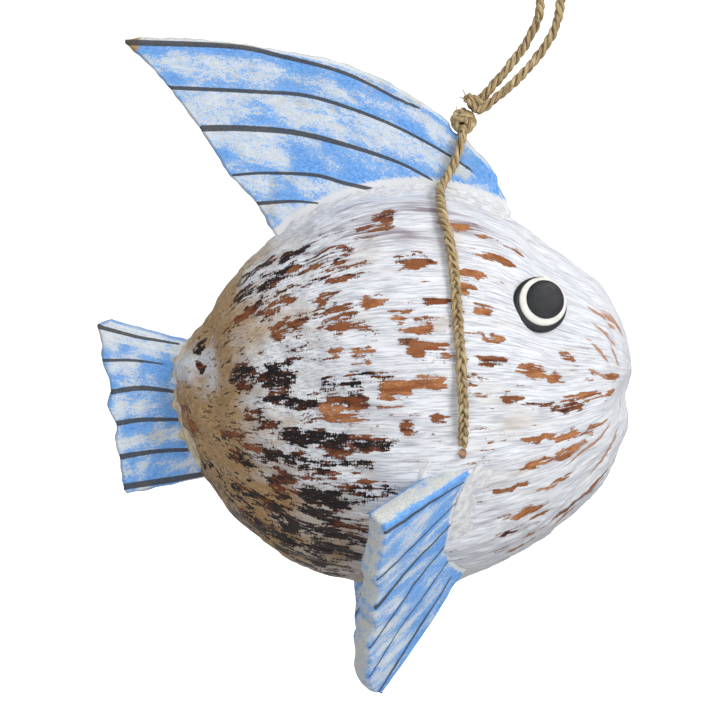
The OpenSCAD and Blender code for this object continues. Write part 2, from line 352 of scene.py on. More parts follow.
def fin_look():
    """Blue brushed thinly over white, with painted rays, bare wood at the tip and putty at the root."""
    k = Look("brushed_blue")
    grain = k.vector("grain")
    place = k.place()
    brush = k.drawn(grain, (60, 190, 190), 5, 0.72, distortion=0.3)
    scuff = k.drawn(grain, (420, 900, 900), 4, 0.75, (4, 2, 0))
    speck = k.noise(place, 1500, 3, 0.75)
    field = k.mottled(k.value("blue"), brush, 1.6)
    field = k.mottled(field, scuff, 2.1)
    field = k.mottled(field, speck, 1.5)
    blue = k.ramp(field, 0.3, 0.72)
    cream = k.drawn(grain, (45, 120, 120), 4, 0.65, (1, 9, 4))
    white = k.mix(k.ramp(scuff, 0.35, 0.65), (198, 210, 224), (232, 238, 244))
    white = k.mix(k.ramp(cream, 0.52, 0.72, 0, 0.4), white, (214, 212, 200))
    white = k.mix(k.value("edge"), white, k.mix(k.ramp(speck, 0.35, 0.65), (186, 188, 184),
                                                 (224, 226, 222)))
    tint = k.mix(k.ramp(scuff, 0.3, 0.7), (46, 128, 222), (116, 184, 246))
    colour = k.mix(k.times(blue, 0.9), white, tint)
    root = k.ramp(k.mottled(k.value("root"), scuff, 1.2), 0.35, 0.7)
    colour = k.mix(root, colour, (226, 228, 231))
    wood = k.ramp(k.mottled(k.value("wood"), scuff, 0.8), 0.4, 0.6)
    colour = k.mix(wood, colour, (176, 146, 108))
    ray = k.ramp(k.mottled(k.value("ray"), scuff, 0.7), 0.4, 0.6)
    ink = k.mix(k.ramp(speck, 0.3, 0.7), (40, 40, 42), (84, 84, 85))
    colour = k.mix(k.times(ray, 0.94), colour, ink)
    height = k.plus(scuff, k.times(speck, 0.5))
    return k.finish(colour, 0.75, k.bump(height, 0.0006, 0.45))


def grained_look(name, scale, detail, light, dark, roughness, depth):
    k = Look(name)
    rings = k.drawn(k.place(), scale, detail, 0.6)
    colour = k.mix(k.ramp(rings, 0.35, 0.65), light, dark)
    return k.finish(colour, roughness, k.bump(rings, depth, 0.5))


def wood_look(name, light, dark):
    return grained_look(name, (220, 900, 900), 3, light, dark, 0.6, 0.0004)


def shell_look(name, light, dark, roughness):
    return grained_look(name, (60, 300, 300), 4, light, dark, roughness, 0.0005)


def paint_look(name, base, worn, roughness):
    k = Look(name)
    place = k.place()
    broad = k.noise(place, 220, 4, 0.6)
    fine = k.noise(place, 1800, 3, 0.6)
    colour = k.mix(k.ramp(broad, 0.4, 0.75, 0, 0.6), base, worn)
    rough = k.ramp(broad, 0.3, 0.7, roughness - 0.08, roughness + 0.1)
    return k.finish(colour, rough, k.bump(k.plus(fine, broad), 0.0003, 0.4))


def straw_look():
    k = Look("straw")
    grain = k.vector("grain")
    fibres = k.drawn(grain, (90, 2400, 2400), 4, 0.65)
    tone = k.drawn(grain, (110, 160, 160), 3, 0.6, (3, 1, 6))
    colour = k.mix(k.ramp(fibres, 0.38, 0.62), (122, 98, 66), (208, 184, 138))
    colour = k.mix(k.ramp(tone, 0.5, 0.7, 0, 0.6), colour, (228, 210, 168))
    colour = k.mix(k.ramp(tone, 0.42, 0.28, 0, 0.6), colour, (112, 84, 50))
    # painted shade: darker deep between the strands and inside the knot's turns
    colour = k.mix(k.times(k.value("strand_gap_shade"), 0.9), colour, (62, 46, 30))
    return k.finish(colour, 0.65, k.bump(fibres, 0.0004, 0.8))


HUSK = husk_look()
PUTTY = putty_look("putty_white", (202, 203, 208), (238, 239, 240), (214, 208, 204))
ROOT_PUTTY = putty_look("putty_cream", (188, 164, 126), (222, 208, 182), (226, 220, 212))
FIN = fin_look()
STRAW = straw_look()
PEG = wood_look("bamboo", (206, 176, 128), (160, 122, 80))
WEDGE = wood_look("wedge_wood", (184, 140, 112), (122, 88, 68))
EYE_LOOKS = {
    "eye_black": paint_look("eye_black", (20, 21, 24), (44, 46, 50), 0.42),
    "eye_white": paint_look("eye_white", (236, 235, 230), (214, 211, 202), 0.55)}
SHELL = shell_look("nut_shell_brown", (78, 50, 34), (40, 24, 16), 0.5)
KERNEL = shell_look("dried_kernel_cream", (232, 222, 198), (206, 190, 158), 0.7)

# ---------------------------------------- cords (routes as in the CAD)

PLAIT_PITCH = 13.5
ROPE_PITCH = 14
ROPE_RADIUS = 1.25
KNOT = np.array([-42.5, 0, -76.5])
COLLAR = np.array([-38.5, 0, -68])
LEG_ROUTE = np.array([
    (-42.9, -6, -82.9), (-44.4, -6.4, -88), (-46.8, -6.2, -96), (-50.2, -6.8, -103),
    (-53, -9.8, -106.8), (-54.4, -14.5, -109.4), (-54.6, -22, -111.7), (-54.6, -33.8, -116.2),
    (-53.6, -43, -121.7), (-51.6, -52.3, -129.3), (-49.8, -60.9, -138.5), (-48.8, -68.7, -149.5),
    (-48.2, -74.5, -160.2), (-47.4, -78.8, -171.1), (-46.6, -82, -182.2),
    (-46, -84, -193), (-45.4, -84.9, -203.4), (-45.3, -84.9, -213), (-45.4, -83.3, -219.8),
    (-45.5, -79.4, -224.8), (-45.5, -74, -228.1), (-45.5, -69, -231.2)])
LOOP_ROUTE = np.array([
    (-37.6, 1.8, -69.4), (-34.6, 2.2, -66.6), (-29.5, 2, -61), (-22, 1.6, -52),
    (-14.8, 1.2, -43), (-9.4, 0.8, -34), (-5.8, 0.4, -25), (-5.2, 0, -17.5), (-7.6, 0, -11.4),
    (-9, 0, -6), (-7.6, 0, -1.4), (-4.4, 0, 1.4), (0, 0, 2.3), (4.6, 0, 1.2), (8, 0, -2),
    (9, 0, -7), (7.6, 0, -12.4), (5.2, 0, -17.6), (3.8, -0.2, -25), (1, -0.6, -33.6),
    (-4.4, -1, -42.6), (-12.4, -1.6, -52), (-20.4, -2, -60), (-28, -2.2, -66.4),
    (-33, -2.2, -69.9), (-36, -2, -71.8)])


def tube(path, radius, sides, start, aside=(0.31, 0.87, 0.38), ridges=0):
    """Points, faces and grain of a tube with flat ends. start is where its grain begins, aside is
    a way that the path never runs, and ridges is how many fibres stand proud."""
    n = len(path)
    ahead = unit(np.gradient(path, axis=0))
    u = unit(np.cross(np.asarray(aside, float), ahead))
    v = np.cross(ahead, u)
    radius = np.broadcast_to(np.asarray(radius, float), (n,))
    s = lengths(path)
    angle = np.arange(sides) * 2 * math.pi / sides
    ring = np.cos(angle)[None, :, None] * u[:, None] + np.sin(angle)[None, :, None] * v[:, None]
    proud = 1
    if ridges:
        turn = s[:, None] * 0.35
        proud = 1 + 0.09 * (np.sin(ridges * angle + turn) + 0.6 * np.sin((ridges + 2) * angle - turn))
    verts = (path[:, None] + (radius[:, None] * proud * np.ones(sides))[..., None] * ring).reshape(-1, 3)
    grain = np.stack([np.repeat(s, sides) + start, np.tile(np.cos(angle), n) * radius.mean(),
                      np.tile(np.sin(angle), n) * radius.mean() + start], axis=1) * MM
    return verts, ring_faces(n, sides), grain


def gather(parts):
    """Several points, faces and grains as one of each."""
    verts, faces, grain, base = [], [], [], 0
    for v, f, g in parts:
        verts.append(v)
        grain.append(g)
        faces += [tuple(base + i for i in face) for face in f]
        base += len(v)
    return np.vstack(verts), faces, np.vstack(grain)


def straw_values(verts, grain, core, near, far):
    """Grain, and how deep between the strands each point lies, painted as shade: near the points of core
    is deep and darkest.
    """
    sample = np.asarray(core)[::2]
    strand_gap_shade = np.empty(len(verts))
    chunk = 4000
    for i in range(0, len(verts), chunk):
        part = verts[i : i + chunk]
        d = np.linalg.norm(part[:, None] - sample[None], axis=2).min(axis=1)
        strand_gap_shade[i : i + chunk] = step(far, near, d)
    return {"grain": grain, "strand_gap_shade": strand_gap_shade}


def plait(route, pitch, wide, deep, strand, outward, seed, twisted):
    """Three strands along a route: laid as a rope where twisted is 1, and plaited flat where it is
    0, wide and deep from its middle. outward is the way that the plait's face looks."""
    path = spline(route, 0.55)
    s = lengths(path)
    t = unit(np.gradient(path, axis=0))
    across = unit(np.cross(outward(path), t))
    face = np.cross(t, across)
    r = np.random.default_rng(seed)
    wander = np.interp(s, np.linspace(0, s[-1], 14), r.normal(0, 1, 14))
    phase = 2 * math.pi * s / pitch + 0.5 * wander
    rope = twisted(path)
    parts = []
    for k in range(3):
        a = phase + k * 2 * math.pi / 3
        jitter = np.interp(s, np.linspace(0, s[-1], 40), r.normal(0, 0.12, 40))
        out = (1 - rope) * deep * np.sin(2 * a) + rope * ROPE_RADIUS * np.cos(a)
        side = ((1 - rope) * wide + rope * ROPE_RADIUS) * np.sin(a) + jitter
        line = path + across * side[:, None] + face * out[:, None]
        thick = strand * (1 + 0.12 * np.interp(s, np.linspace(0, s[-1], 60), r.normal(0, 1, 60)))
        parts.append(tube(line, thick, 16, 37 * k + seed, ridges=5))
    v, f, g = gather(parts)
    # painted shade: darkest between the strands, near the plait's middle line
    return v, f, straw_values(v, g, path, 0.7, 1.9)


def loose_straws(name, body, points, seed, size=0.28):
    """Short stiff fibres that stick out of a cord, each from a point along a way."""
    r = np.random.default_rng(seed)
    parts = []
    for start, way, length in points:
        way = unit(way)
        bend = unit(np.cross(way, r.normal(size=3))) * length * 0.18
        t = np.linspace(0, 1, 8)[:, None]
        line = np.array(start, float) + way * length * t + bend * t * t
        parts.append(tube(line, size * (1 - 0.5 * t[:, 0]), 6, r.uniform(0, 90)))
    verts, faces, grain = gather(parts)
    values = {"grain": grain, "strand_gap_shade": np.zeros(len(verts))}
    add("loose_straws_" + name, verts, faces, body, STRAW, "cord", (), values)


def leg_outward(path):
    """Away from the fish's middle: sideways on the fin, square to the husk below."""
    down = step(-100, -112, path[:, 2])[:, None]
    radial = path - np.array([-50, 0, -205])
    radial[:, 0] *= 0.1
    return unit((1 - down) * np.array([0, -1, 0]) + down * unit(radial))


def loop_outward(path):
    return np.tile((0.05, -1, 0.05), (len(path), 1))


def leg_rope(path):
    return step(-150, -128, path[:, 2])


def all_rope(path):
    return np.ones(len(path))


def make_leg(side):
    """A leg of the sling: a rope at the knot that turns into a flat plait on the husk. Point 19 of
    its route is at the mouth of the drilled hole."""
    route = on_side(side, LEG_ROUTE)
    ends = [((-52.6, -11, -107.5), (1, -0.25, -0.45), 8), ((-47.5, -77.5, -170), (0.4, -0.8, 0.5), 5),
            ((-49.9, -60, -139), (-0.5, -0.7, 0.3), 5), ((-45.6, -83.9, -206), (0.6, -0.6, -0.5), 4)]
    loose_straws(side, "fish", [(on_side(side, p), on_side(side, way), n) for p, way, n in ends], 11)
    v, f, values = plait(route, PLAIT_PITCH, 1.5, 0.62, 1.12,
                         lambda path: on_side(side, leg_outward(on_side(side, path))),
                         3 if side == "right" else 5, leg_rope)
    obj = add("cord_leg_" + side + "_plait", v, f, "fish", STRAW, "cord",
              ["cord_leg_" + side], values)
    path_length(route) * MM


def make_throat(side):
    """The leg's last few millimetres, between the leg and the knot's turns, attached to no body."""
    route = on_side(side, [(-44, -6.3, -86.8), (-42.9, -6, -82.9), (-42.7, -4.4, -80.4),
                           (-42.6, -3.5, -79.5)])
    v, f, values = plait(route, PLAIT_PITCH, 1.35, 0.7, 1.0, loop_outward, 9, all_rope)
    throat = add("sling_throat_" + side, v, f, None, STRAW, "cord", (), values)
    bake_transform(throat)


for side in SIDES:
    make_leg(side)
for side in SIDES:
    make_throat(side)


def ball_of_turns(centre, radius, strand, turns, seed):
    """Rounds of doubled cord about a centre. turns holds each round's axis and how far along it
    the round lies, as a share of the radius."""
    r = np.random.default_rng(seed)
    pitch = 9
    parts = []
    for axis, share in turns:
        axis = unit(axis)
        x = unit(np.cross(axis, (0.2, 0.5, 0.9)))
        y = np.cross(axis, x)
        a = np.linspace(0, 2 * math.pi, 70)[:, None]
        wide = radius * (1 + 0.06 * np.sin(2 * a + r.uniform(0, 6)))
        base = centre + np.cos(a) * wide * x + np.sin(a) * wide * y + axis * (radius * share)
        out = unit(base - centre)
        side = np.cross(unit(np.gradient(base, axis=0)), out)
        phase = a * round(2 * math.pi * radius / pitch)
        for k in (0, math.pi):
            line = base + side * strand * 0.9 * np.sin(phase + k) + out * strand * 0.7 * np.cos(phase + k)
            parts.append(tube(line, strand, 9, r.uniform(0, 200), unit(axis + 0.01), ridges=3))
    return parts


v, f, g = gather(ball_of_turns(KNOT, 4.4, 1.25, [
    ((1, 0.2, 0.3), 0.25), ((0.2, 1, 0.2), -0.1), ((-0.4, 0.3, 1), 0.2), ((0.7, -0.6, 0.4), -0.3),
    ((0.1, 0.5, -0.9), 0.35)], 21))
# painted shade: darkest towards the knot's middle
knot = add("knot_turns", v, f, "knot", STRAW, "cord", ["knot"],
           straw_values(v, g, [KNOT], 3.2, 5.4))
loose_straws("knot", "knot", [
    (KNOT + (-3, -4, 4), (-0.3, -0.5, 0.8), 5), (KNOT + (-2, -5, 3), (-0.2, -0.8, 0.4), 4),
    (KNOT + (3, -5, 1), (0.5, -0.7, 0.2), 3.5)], 22)

along = unit([5.2, 0, 5.6])
parts = []
for i, (shift, slant) in enumerate([(-0.2, (0.2, 0.1, 0)), (2.1, (-0.15, 0.2, 0.1))]):
    parts += ball_of_turns(COLLAR + along * shift, 3.7, 1.05, [(along + slant, 0)], 31 + i)
v, f, g = gather(parts)
# painted shade: darkest inside the collar's turns
collar = add("knot_collar_turns", v, f, "loop", STRAW, "cord", ["knot_collar"],
             straw_values(v, g, [COLLAR - 2 * along], 2.4, 4.4))
loose_straws("collar", "loop", [
    (COLLAR + (-2.5, -2.5, 3), (-0.5, -0.5, 0.8), 5), (COLLAR + (-3, -2, 2), (-0.8, -0.3, 0.5), 4)],
    33, 0.4)

loose_straws("loop", "loop", [
    ((-6, -1.5, -28), (-0.6, -0.6, 0.5), 5), ((-20, -3, -58), (0.4, -0.7, -0.5), 4)], 35)
v, f, values = plait(LOOP_ROUTE, ROPE_PITCH, 1.35, 0.7, 1.12, loop_outward, 8, all_rope)
loop = add("hanging_loop_plait", v, f, "loop", STRAW, "cord", ["hanging_loop"], values)
path_length(LOOP_ROUTE) * MM

# ---------------------------------------- husk

# Sections along X as in the CAD: place, top, bottom and half width as a share of the widest
STATIONS = np.array([
    (-183, -192, -219, 0.14), (-179.5, -186, -232, 0.25), (-171, -176, -254, 0.39),
    (-157, -157, -274, 0.58), (-141, -140.5, -288, 0.73), (-121, -125.5, -300.5, 0.86),
    (-98, -115.5, -306.5, 0.95), (-73, -111, -309, 1), (-48, -112.5, -307, 0.98),
    (-23, -121.5, -297.5, 0.89), (-3, -136.5, -285, 0.76), (11, -147, -273, 0.64),
    (26, -158.5, -257, 0.5), (34.5, -170, -243, 0.38), (40, -181.5, -229, 0.26),
    (43, -191, -212, 0.12)], float)
HUSK_W = 168
HUSK_ALONG = 430
HUSK_AROUND = 520
NOSE_X = 43
STEM_X = -183
SECTIONS = spline(STATIONS * (1, 1, 1, 100), 0.4) / (1, 1, 1, 100)


def section(x):
    """Middle height, half height and half width of the husk's plain skin at places along X."""
    top, low, share = [np.interp(x, SECTIONS[:, 0], SECTIONS[:, k]) for k in (1, 2, 3)]
    return (top + low) / 2, (top - low) / 2, share * HUSK_W / 2


def skin(x, a):
    """The plain skin at a place along X and angles round it, 0 at +Y and 90 degrees at the top."""
    middle, tall, wide = section(x)
    return np.stack([x + 0 * a, wide * np.cos(a), middle + tall * np.sin(a)], axis=-1)


EYE_SEAT = np.array([-7.5, -52, -161])
EYE_AXIS = unit([0.25, -0.92, 0.32])


def bowed(start, end, bow):
    """A line from start to end that bows to its left by this much in the middle."""
    start, end = np.array(start, float), np.array(end, float)
    t = np.linspace(0, 1, 9)[:, None]
    ahead = end - start
    left = unit(np.array([-ahead[1], ahead[0]]))
    return start + ahead * t + left * bow * 4 * t * (1 - t)


# Wrinkles of the snout, in X and Z
WRINKLES = [bowed(*wrinkle) for wrinkle in [
    ((20, -164), (39, -185), 2), ((11, -163), (35, -180), 2), ((13, -170), (36, -188), 1.5),
    ((28, -181), (36, -197), 0.5), ((11, -176), (30, -196), 1.5), ((13, -192), (30, -202), 1),
    ((14, -252), (37, -219), -2.5), ((4, -240), (34, -214), -3)]]
# Strokes where the whitewash is rubbed off, each broken into patches: x where it starts and ends
# in mm, angle round the husk there in degrees, half height, and how dark it is, 0 to 10.
STROKES = [
    # high on the back, under the dorsal fin
    (-156, -120, 114, 118, 3, 8), (-152, -130, 125, 126, 4, 8), (-136, -100, 125, 134, 1.5, 3),
    (-120, -94, 136, 138, 1.2, 4), (-106, -97, 131, 131, 5, 4), (-98, -78, 118, 120, 1.6, 4),
    (-86, -77, 114, 114, 5, 5), (-80, -62, 134, 136, 3, 4),
    # upper side
    (-152, -126, 139, 142, 3, 5), (-119, -103, 142, 142, 1.5, 3), (-110, -96, 151, 151, 6, 3),
    (-138, -122, 149, 151, 6, 3), (-110, -88, 160, 163, 4, 1), (-94, -70, 148, 150, 1.2, 2),
    (-82, -62, 155, 157, 3.5, 1), (-75, -53, 160, 161, 1.8, 4), (-66, -52, 146, 148, 1.6, 4),
    # middle of the side
    (-154, -124, 163, 167, 5, 7), (-114, -92, 170, 172, 3, 7), (-96, -80, 170, 170, 1.4, 7),
    (-82, -54, 171, 171, 3, 1), (-74, -65, 164, 164, 3, 2), (-112, -92, 175, 175, 4.5, 4),
    (-138, -118, 175, 175, 2, 8), (-114, -88, 180, 180, 3, 1), (-150, -130, 178, 183, 2, 6),
    (-60, -50, 179, 181, 1.5, 4), (-74, -66, 184, 184, 2.5, 4),
    # below the middle, behind the pectoral fin
    (-130, -111, 184, 188, 3, 8), (-112, -74, 187, 188, 3.4, 7), (-164, -138, 188, 193, 1.6, 4),
    (-144, -130, 192, 193, 5, 7), (-130, -104, 193, 194, 3, 8), (-102, -86, 195, 196, 2.8, 8),
    (-158, -142, 197, 203, 3, 8), (-138, -126, 202, 203, 6.5, 7), (-126, -96, 204, 206, 4, 8),
    (-96, -74, 203, 203, 3.2, 9), (-152, -116, 214, 217, 1.6, 8), (-134, -106, 210, 212, 3, 9),
    # towards the belly
    (-116, -90, 219, 222, 3, 10), (-150, -120, 226, 232, 1.4, 8), (-114, -92, 229, 231, 6.5, 10),
    (-140, -110, 236, 238, 1.8, 8), (-118, -98, 240, 242, 4, 9),
    # head
    (-48, -38, 120, 120, 1.5, 1), (-40, -14, 122, 123, 1.1, 1), (-38, -22, 130, 131, 2, 1),
    (-46, -32, 137, 138, 1.5, 1), (-46, -38, 143, 144, 3.6, 1), (-42, -30, 148, 150, 2, 1),
    (-44, -24, 156, 158, 1.2, 1), (-38, -22, 166, 166, 1.5, 4), (-20, 6, 166, 168, 2, 1),
    (0, 9, 158, 158, 1.4, 3), (12, 34, 166, 169, 1.5, 1), (-44, -32, 170, 171, 1.4, 4),
    (-30, 10, 175, 179, 1.3, 4), (4, 34, 174, 182, 1.5, 1), (-16, 28, 188, 194, 1.6, 1),
    (-14, 16, 199, 200, 1.9, 1), (-28, -12, 208, 203, 1.2, 2), (-8, 10, 209, 213, 1, 1),
    (-20, -6, 217, 218, 2, 1), (-9, -1, 222, 222, 1.2, 3), (0, 24, 231, 239, 2.6, 4),
    (-20, 10, 239, 241, 1.4, 3), (-26, -20, 227, 227, 1.3, 6),
    # round the stem
    (-180, -171, 197, 198, 4, 4), (-175, -170, 131, 131, 2.5, 8), (-173, -170, 147, 147, 2, 8),
]


def broken_strokes():
    """Each stroke as patches in a row: x, angle, half length, half height and darkness."""
    r = np.random.default_rng(31)
    patches = []
    for x0, x1, a0, a1, tall, dark in STROKES:
        count = max(1, round((x1 - x0) / 13))
        for k in range(count):
            t = (k + 0.5 + r.uniform(-0.15, 0.15)) / count
            patches.append((x0 + (x1 - x0) * t, a0 + (a1 - a0) * t + r.uniform(-1.2, 1.2),
                            (x1 - x0) / count / 2 * r.uniform(0.85, 1.4),
                            tall * r.uniform(0.85, 1.3), dark / 10 + r.uniform(-0.1, 0.1)))
    return patches


def around(p):
    """Points of the skin across and up, where the plain skin is a circle of radius 1."""
    middle, tall, wide = section(p[..., 0])
    return p[..., 1] / wide, (p[..., 2] - middle) / tall


def girth(x):
    """The plain skin's middle radius."""
    return sum(section(x)[1:]) / 2


def off_skin(p):
    """Roughly how far points are outside the plain skin."""
    return (np.hypot(*around(p)) - 1) * girth(p[:, 0])


def relief(p):
    """How far the carved husk stands out from its plain skin, and how brown its grooves are."""
    x, y, z = p[:, 0], p[:, 1], p[:, 2]
    out = 0.9 * ripple(p, 70, 1) + 0.35 * ripple(p, 24, 2)
    streak = p * (0.16, 1, 1)
    even = step(-172, -135, x)
    out += 0.3 * ripple(streak, 9, 3) * step(50, 20, x) * even
    out += 0.16 * ripple(streak, 4.2, 4) * (0.25 + 0.75 * even)
    across, up = around(p)
    high = (1 + up) / 2
    keel = step(-26, -12, x) * step(44, 34, x) * step(0.5, 1, high)
    from_keel = np.abs(y) - np.interp(x, [-26, -10, 14, 28, 40], [4, 19, 23, 26, 28])
    out += keel * (1.1 * step(-0.5, -4, from_keel) - 0.9 * np.exp(-(from_keel / 1.3) ** 2))
    groove = 0.5 * keel * np.exp(-(from_keel / 1.1) ** 2)
    d, along = to_lines(np.stack([x, z], axis=1), WRINKLES)
    fade = np.sin(np.clip(along, 0.02, 0.98) * math.pi) ** 0.5 * step(0.25, 0.6, np.abs(across))
    out -= 0.7 * np.exp(-(d / 1.1) ** 2) * fade
    groove = np.maximum(groove, 0.8 * np.exp(-(d / 1.2) ** 2) * fade)
    out += 1.6 * step(-30, -5, x) * step(0.4, 0.12, high)
    out += 2.0 * step(-120, -140, x) * step(-174, -160, x) * step(0.55, 0.8, high)
    mouth = step(24, 38, x)
    out -= 1.8 * mouth
    out -= 3.6 * mouth * np.exp(-((z + 211) / 8) ** 2)
    stem = step(-155, -174, x)
    out += stem * (0.8 * ripple(p, 19, 6) + 0.35 * ripple(p, 8, 7))
    out -= 1.4 * np.exp(-((x + 166 + 3 * ripple(p[:, 1:], 30, 9)) / 4.5) ** 2)
    for side in SIDES:
        from_eye = p - on_side(side, EYE_SEAT)
        flat = step(26, 14, np.linalg.norm(from_eye, axis=1))
        height = from_eye @ on_side(side, EYE_AXIS)
        out = out * (1 - flat) + flat * np.clip(-height + 0.2, -2.2, 1.0)
    return out, groove


def husk_masks(p):
    """How bare of whitewash, how dark and how tan the husk is at points of its skin, and where painted
    shade lies by the dorsal fin's root.
    """
    x, z = p[:, 0], p[:, 2]
    across, up = around(p)
    high = (1 + up) / 2
    near = np.degrees(np.arctan2(up, -np.abs(across))) % 360
    reach = girth(x)
    wobble = np.stack([1.3 * ripple(p, 13, 90), 0.8 * ripple(p, 9, 91)], axis=1)
    bare = 0.36 + 0.05 * ripple(p, 45, 12) + 0.1 * step(-60, -120, x) - 0.1 * step(-40, 0, x)
    bare -= 0.2 * step(0.93, 1.0, high) * step(-20, -40, x)
    bare += 0.2 * step(0.45, 0.1, high) * step(-30, -90, x) - 0.12 * step(-150, -165, x)
    dark = 0.2 + 0.4 * step(-70, -130, x) + 0.4 * step(0.35, 0.1, high) * step(-20, -70, x)
    here = np.zeros(len(p))
    for x0, a0, half, tall, tone in broken_strokes():
        window = np.nonzero(np.abs(x - x0) < half * 2 + 6)[0]
        du = (x[window] - x0 + wobble[window, 0]) / (half + 0.8)
        dv = (np.radians(near[window] - a0) * reach[window] + wobble[window, 1]) / (tall + 0.7)
        fill = step(1.35, 0.55, np.sqrt(du**2 + dv**2))
        stronger = fill > here[window]
        best = window[stronger]
        dark[best] += (tone - dark[best]) * fill[stronger]
        here[best] = fill[stronger]
    bare += (0.76 - bare) * here
    r = np.minimum(*[np.linalg.norm(p - on_side(side, EYE_SEAT), axis=1) for side in SIDES])
    bare -= 0.25 * step(24, 16, r)
    tan = 0.85 * step(-134, -168, x) + 0.62 * step(0.5, 0.12, high) * step(-50, -110, x) \
        + 0.32 * step(-95, -145, x) + 0.12 * ripple(p, 30, 14)
    tan -= 0.9 * step(-158, -168, x) * np.exp(-((z + 196) / 11) ** 2)
    # painted shade: a grey band along the back beside the dorsal fin's root
    smudge_and_shade = step(0.84, 0.92, high) * step(0.998, 0.98, high) * step(-130, -112, x) * step(-22, -42, x)
    smudge_and_shade = smudge_and_shade * (0.5 + 0.5 * ripple(p * (0.3, 1, 1), 14, 92))
    return [np.clip(mask, 0, 1) for mask in (bare, dark, tan, smudge_and_shade)]


def make_husk():
    """The husk as rings along X, closed by rings that shrink at its two ends."""
    a = np.arange(HUSK_AROUND) * 2 * math.pi / HUSK_AROUND
    xs = resample(SECTIONS[:, :3] * (1, 0.6, 0.6), count=HUSK_ALONG)[:, 0]
    cap = np.linspace(0, math.pi / 2, 9)[1:]

    def end_ring(x, t, bulge):
        ring = skin(np.array(x), a)
        middle = ring.mean(axis=0)
        return middle + (ring - middle) * max(math.cos(t), 0.004) + (bulge * math.sin(t), 0, 0)

    rows = [end_ring(xs[0], t, -1.8) for t in cap[::-1]]
    rows += [skin(np.array(x), a) for x in xs]
    rows += [end_ring(xs[-1], t, 0.5) for t in cap]
    grid = np.array(rows)
    around_it = (np.roll(grid, -1, axis=1) - np.roll(grid, 1, axis=1)) / 2
    outwards = unit(np.cross(around_it, np.gradient(grid, axis=0)) + 1e-12).reshape(-1, 3)
    flat = grid.reshape(-1, 3)
    out, groove = relief(flat)
    inside = np.repeat(np.concatenate([np.cos(cap[::-1]), np.ones(len(xs)), np.cos(cap)]), HUSK_AROUND)
    verts = flat + outwards * (out * (0.3 + 0.7 * inside))[:, None]
    bare, dark, tan, smudge_and_shade = husk_masks(flat)
    angle = np.tile(a, len(rows))
    spread = (np.maximum(girth(flat[:, 0]), 8) / 88) ** (0.45 * step(-60, -130, flat[:, 0]))
    grain = np.column_stack([flat[:, 0], 76 * spread * np.cos(angle), 90 * spread * np.sin(angle)])
    add("husk_carved", verts, ring_faces(len(rows), HUSK_AROUND), "fish", HUSK, "husk", ["husk"],
        {"grain": grain * MM, "bare": bare, "dark": dark, "tan": tan, "smudge_and_shade": smudge_and_shade,
         "groove": groove})


make_husk()

# ---------------------------------------- fins


def coons(top, low, inner, outer, nu, nv):
    """A grid filling four edges: top and low run inner to outer, inner and outer run top to low."""
    u = np.linspace(0, 1, nu)[:, None, None]
    v = np.linspace(0, 1, nv)[None, :, None]
    t, b = resample(top, count=nu)[:, None], resample(low, count=nu)[:, None]
    i, o = resample(inner, count=nv)[None], resample(outer, count=nv)[None]
    corners = (1 - u) * ((1 - v) * t[0, 0] + v * b[0, 0]) + u * ((1 - v) * t[-1, 0] + v * b[-1, 0])
    return (1 - v) * t + v * b + (1 - u) * i + u * o - corners


def board(grid, front, back, edge, place, seed):
    """A carved board on a grid of plane points. front and back are its faces' heights, edge is how
    much its rim is rounded, and place turns plane points and heights into points of the part.
    Gives the board's points, its faces and the plane point under each point."""
    nu, nv = grid.shape[:2]
    flat = grid.reshape(-1, 2)
    count = len(flat)
    corners = [(i, 0) for i in range(nu)] + [(nu - 1, j) for j in range(1, nv)] \
        + [(i, nv - 1) for i in range(nu - 2, -1, -1)] + [(0, j) for j in range(nv - 2, 0, -1)]
    rim = np.array([i * nv + j for i, j in corners])
    line = flat[rim]
    d, _ = to_lines(flat, [np.vstack([line[::4], line[:1]])])
    fall = edge * (1 - np.sqrt(np.clip(1 - (1 - np.clip(d / edge, 0, 1)) ** 2, 0, 1)))
    broad = 0.35 * ripple(flat, 42, seed)
    f = front - fall + broad + 0.12 * ripple(flat, 13, seed + 1)
    b = back + fall + broad + 0.12 * ripple(flat, 13, seed + 2)
    ahead = np.roll(line, -1, axis=0) - np.roll(line, 1, axis=0)
    out = unit(np.stack([ahead[:, 1], -ahead[:, 0]], axis=1) + 1e-9)
    if np.sum(out * (line - flat.mean(axis=0))) < 0:
        out = -out
    verts, plane = [place(flat, f), place(flat, b)], [flat, flat]
    rows = [rim]
    for t in (0.2, 0.4, 0.6, 0.8):
        h = f[rim] * (1 - t) + b[rim] * t
        lumps = 0.25 * ripple(np.column_stack([line, h]), 7, seed + 5)
        q = line + out * (0.5 * edge * math.sin(math.pi * t) + lumps)[:, None]
        rows.append(2 * count + (len(rows) - 1) * len(rim) + np.arange(len(rim)))
        verts.append(place(q, h))
        plane.append(q)
    rows.append(count + rim)
    faces = grid_faces(nu, nv) + grid_faces(nu, nv, base=count, flip=True)
    for a, b in zip(rows[:-1], rows[1:]):
        faces += np.column_stack([a, np.roll(a, -1), np.roll(b, -1), b]).tolist()
    return np.vstack(verts), faces, np.vstack(plane)


def ray_mask(plane, rays, widths):
    """Where the painted rays are. widths is each ray's thickness at its start, middle and end."""
    best = np.zeros(len(plane))
    for line, width in zip(rays, widths):
        d, along = to_lines(plane, [spline(line, 1.5)])
        w = np.interp(along, [0, 0.5, 1], width)
        best = np.maximum(best, step(w / 2 + 0.45, w / 2 - 0.45, d) * step(1.0, 0.95, along))
    return best


def below(plane, line):
    """How far points are under a line across the plane. It is less than 0 over the line."""
    line = np.array(sorted(line))
    return np.interp(plane[:, 0], line[:, 0], line[:, 1]) - plane[:, 1]


def upright(q, h):
    """Points of a board that stands in the fish's middle plane."""
    return np.column_stack([q[:, 0], -h, q[:, 1]])


